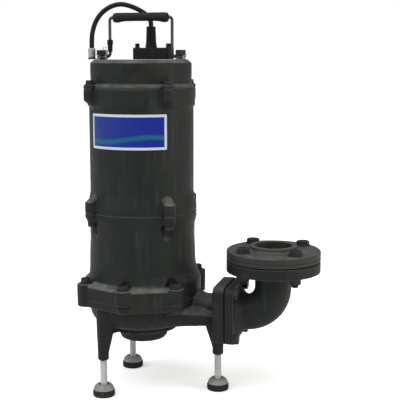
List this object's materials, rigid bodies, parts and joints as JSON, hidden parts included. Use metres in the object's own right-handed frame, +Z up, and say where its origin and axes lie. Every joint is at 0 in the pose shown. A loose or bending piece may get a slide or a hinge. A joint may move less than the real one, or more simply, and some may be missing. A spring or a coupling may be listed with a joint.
{
  "type": "grinder pump",
  "caption": "Upright submersible grinder pump with a dark cast-iron motor, top handle, flanged discharge elbow and adjustable screw feet.",
  "frame": {"origin": "on the ground, in the middle of the pump's outline, the lead left out", "axes": "+Z up the motor, +X towards the discharge elbow, -Y towards the side with the name plate"},
  "size_m": [0.402, 0.24, 0.6516],
  "materials": {
    "painted_iron": "black painted casting, satin",
    "flange_iron": "dark grey painted flange, satin",
    "bolt_steel": "darkened steel bolts",
    "bright_steel": "bright turned steel",
    "cup_steel": "dull plated pressing",
    "cutter_steel": "ground hardened steel",
    "rubber": "matt black rubber",
    "black_plastic": "moulded black grip",
    "lead_sheath": "black rubber cable sheath",
    "gasket": "pressed fibre sheet",
    "plate_film": "blue printed film with a white border, no words"
  },
  "bodies": {
    "pump": {"volute_casing": "painted_iron", "suction_cover": "painted_iron", "cutter_ring": "cutter_steel", "cutter_blade": "cutter_steel", "cutter_bolt": "bolt_steel", "motor_shaft": "bright_steel", "discharge_elbow": "painted_iron", "outlet_gasket": "gasket", "companion_flange": "flange_iron", "discharge_gasket": "gasket", "oil_chamber": "painted_iron", "motor_housing": "painted_iron", "top_cover": "painted_iron", "name_plate": "plate_film", "handle_rod": "bright_steel", "handle_grip": "black_plastic", "handle_tie": "rubber", "gland_plate": "painted_iron", "gland_sleeve": "rubber", "power_lead": "lead_sheath", "lead_clip": "bright_steel", "discharge_bolt_1": "bolt_steel", "discharge_nut_1": "bolt_steel", "outlet_bolt_1": "bolt_steel", "discharge_bolt_2": "bolt_steel", "discharge_nut_2": "bolt_steel", "outlet_bolt_2": "bolt_steel", "discharge_bolt_3": "bolt_steel", "discharge_nut_3": "bolt_steel", "outlet_bolt_3": "bolt_steel", "discharge_bolt_4": "bolt_steel", "discharge_nut_4": "bolt_steel", "outlet_bolt_4": "bolt_steel", "handle_bolt_1": "bolt_steel", "handle_bolt_2": "bolt_steel"},
    "foot_1": {"foot_1_pad": "rubber", "foot_1_cup": "cup_steel", "foot_1_stud": "bright_steel"},
    "foot_2": {"foot_2_pad": "rubber", "foot_2_cup": "cup_steel", "foot_2_stud": "bright_steel"},
    "foot_3": {"foot_3_pad": "rubber", "foot_3_cup": "cup_steel", "foot_3_stud": "bright_steel"}
  },
  "joints": [
    {"name": "foot_1_slide", "type": "slide", "parent": "pump", "child": "foot_1", "axis": [0, 0, 1], "range_m": [-0.008, 0.025]},
    {"name": "foot_2_slide", "type": "slide", "parent": "pump", "child": "foot_2", "axis": [0, 0, 1], "range_m": [-0.008, 0.025]},
    {"name": "foot_3_slide", "type": "slide", "parent": "pump", "child": "foot_3", "axis": [0, 0, 1], "range_m": [-0.008, 0.025]}
  ]
}
